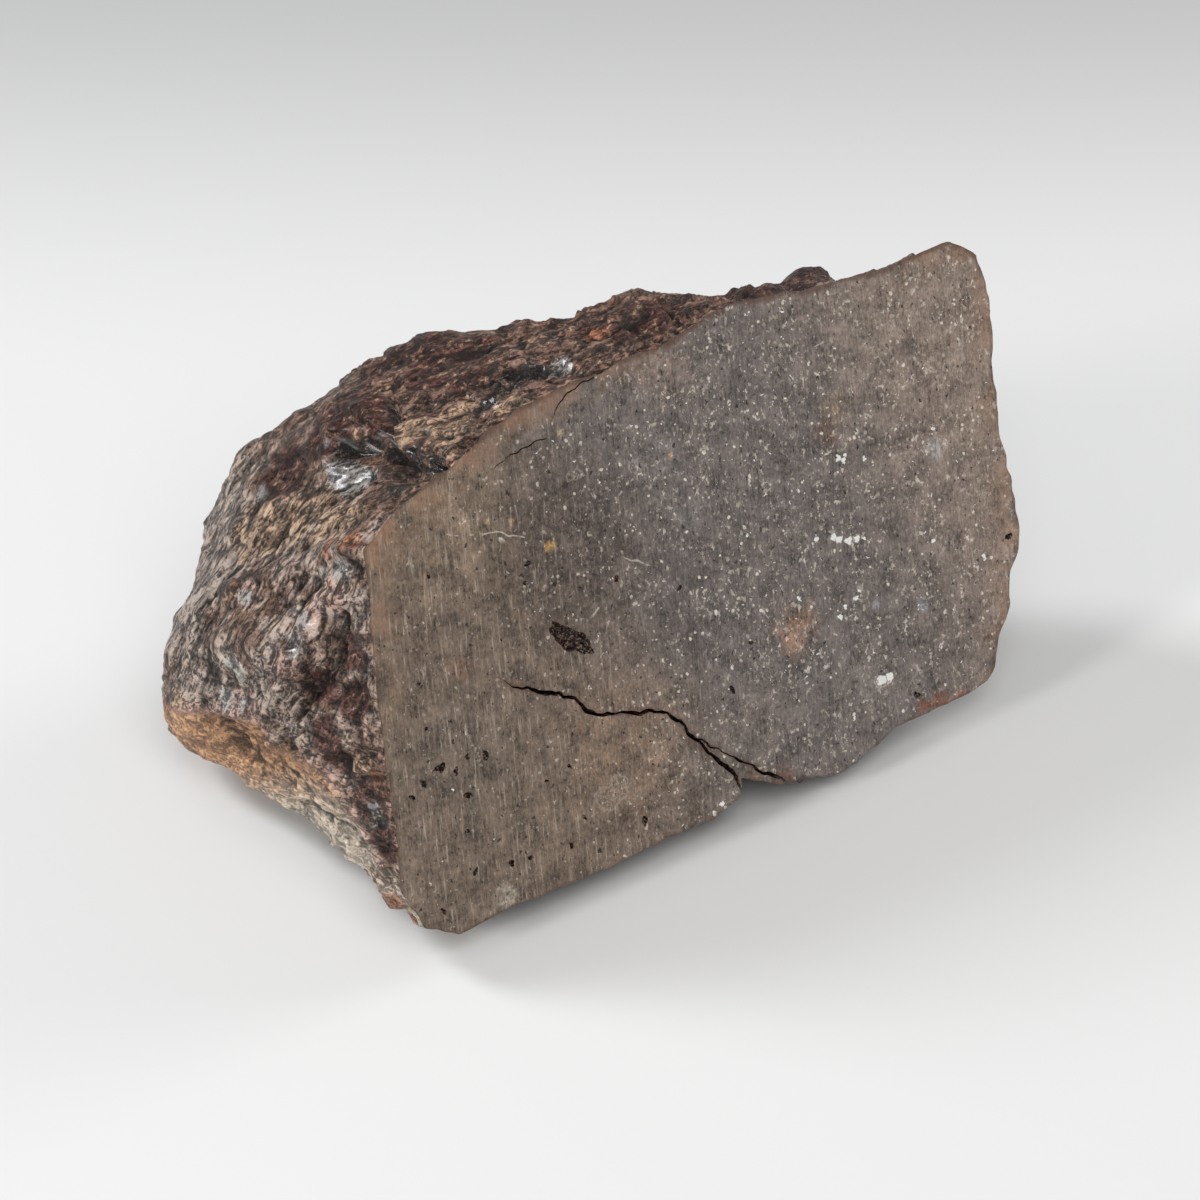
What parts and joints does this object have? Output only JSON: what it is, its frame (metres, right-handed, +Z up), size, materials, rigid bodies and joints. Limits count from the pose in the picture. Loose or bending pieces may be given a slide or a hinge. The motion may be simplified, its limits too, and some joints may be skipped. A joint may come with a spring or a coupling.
{
  "type": "stony meteorite end cut",
  "caption": "Broken, weathered stone with one flat sawn and polished face crossed by a forked crack, resting on a small flat spot.",
  "frame": {"origin": "middle of the flat spot that the stone rests on", "axes": "+Z up. The sawn face looks forward (-Y), to the right (+X) and up."},
  "size_m": [0.0621, 0.0452, 0.0319],
  "materials": {
    "meteorite_stone": "dark weathered broken crust, with one smooth sawn grey-brown face"
  },
  "bodies": {
    "root": {"meteorite_end_cut": "meteorite_stone"}
  },
  "joints": []
}
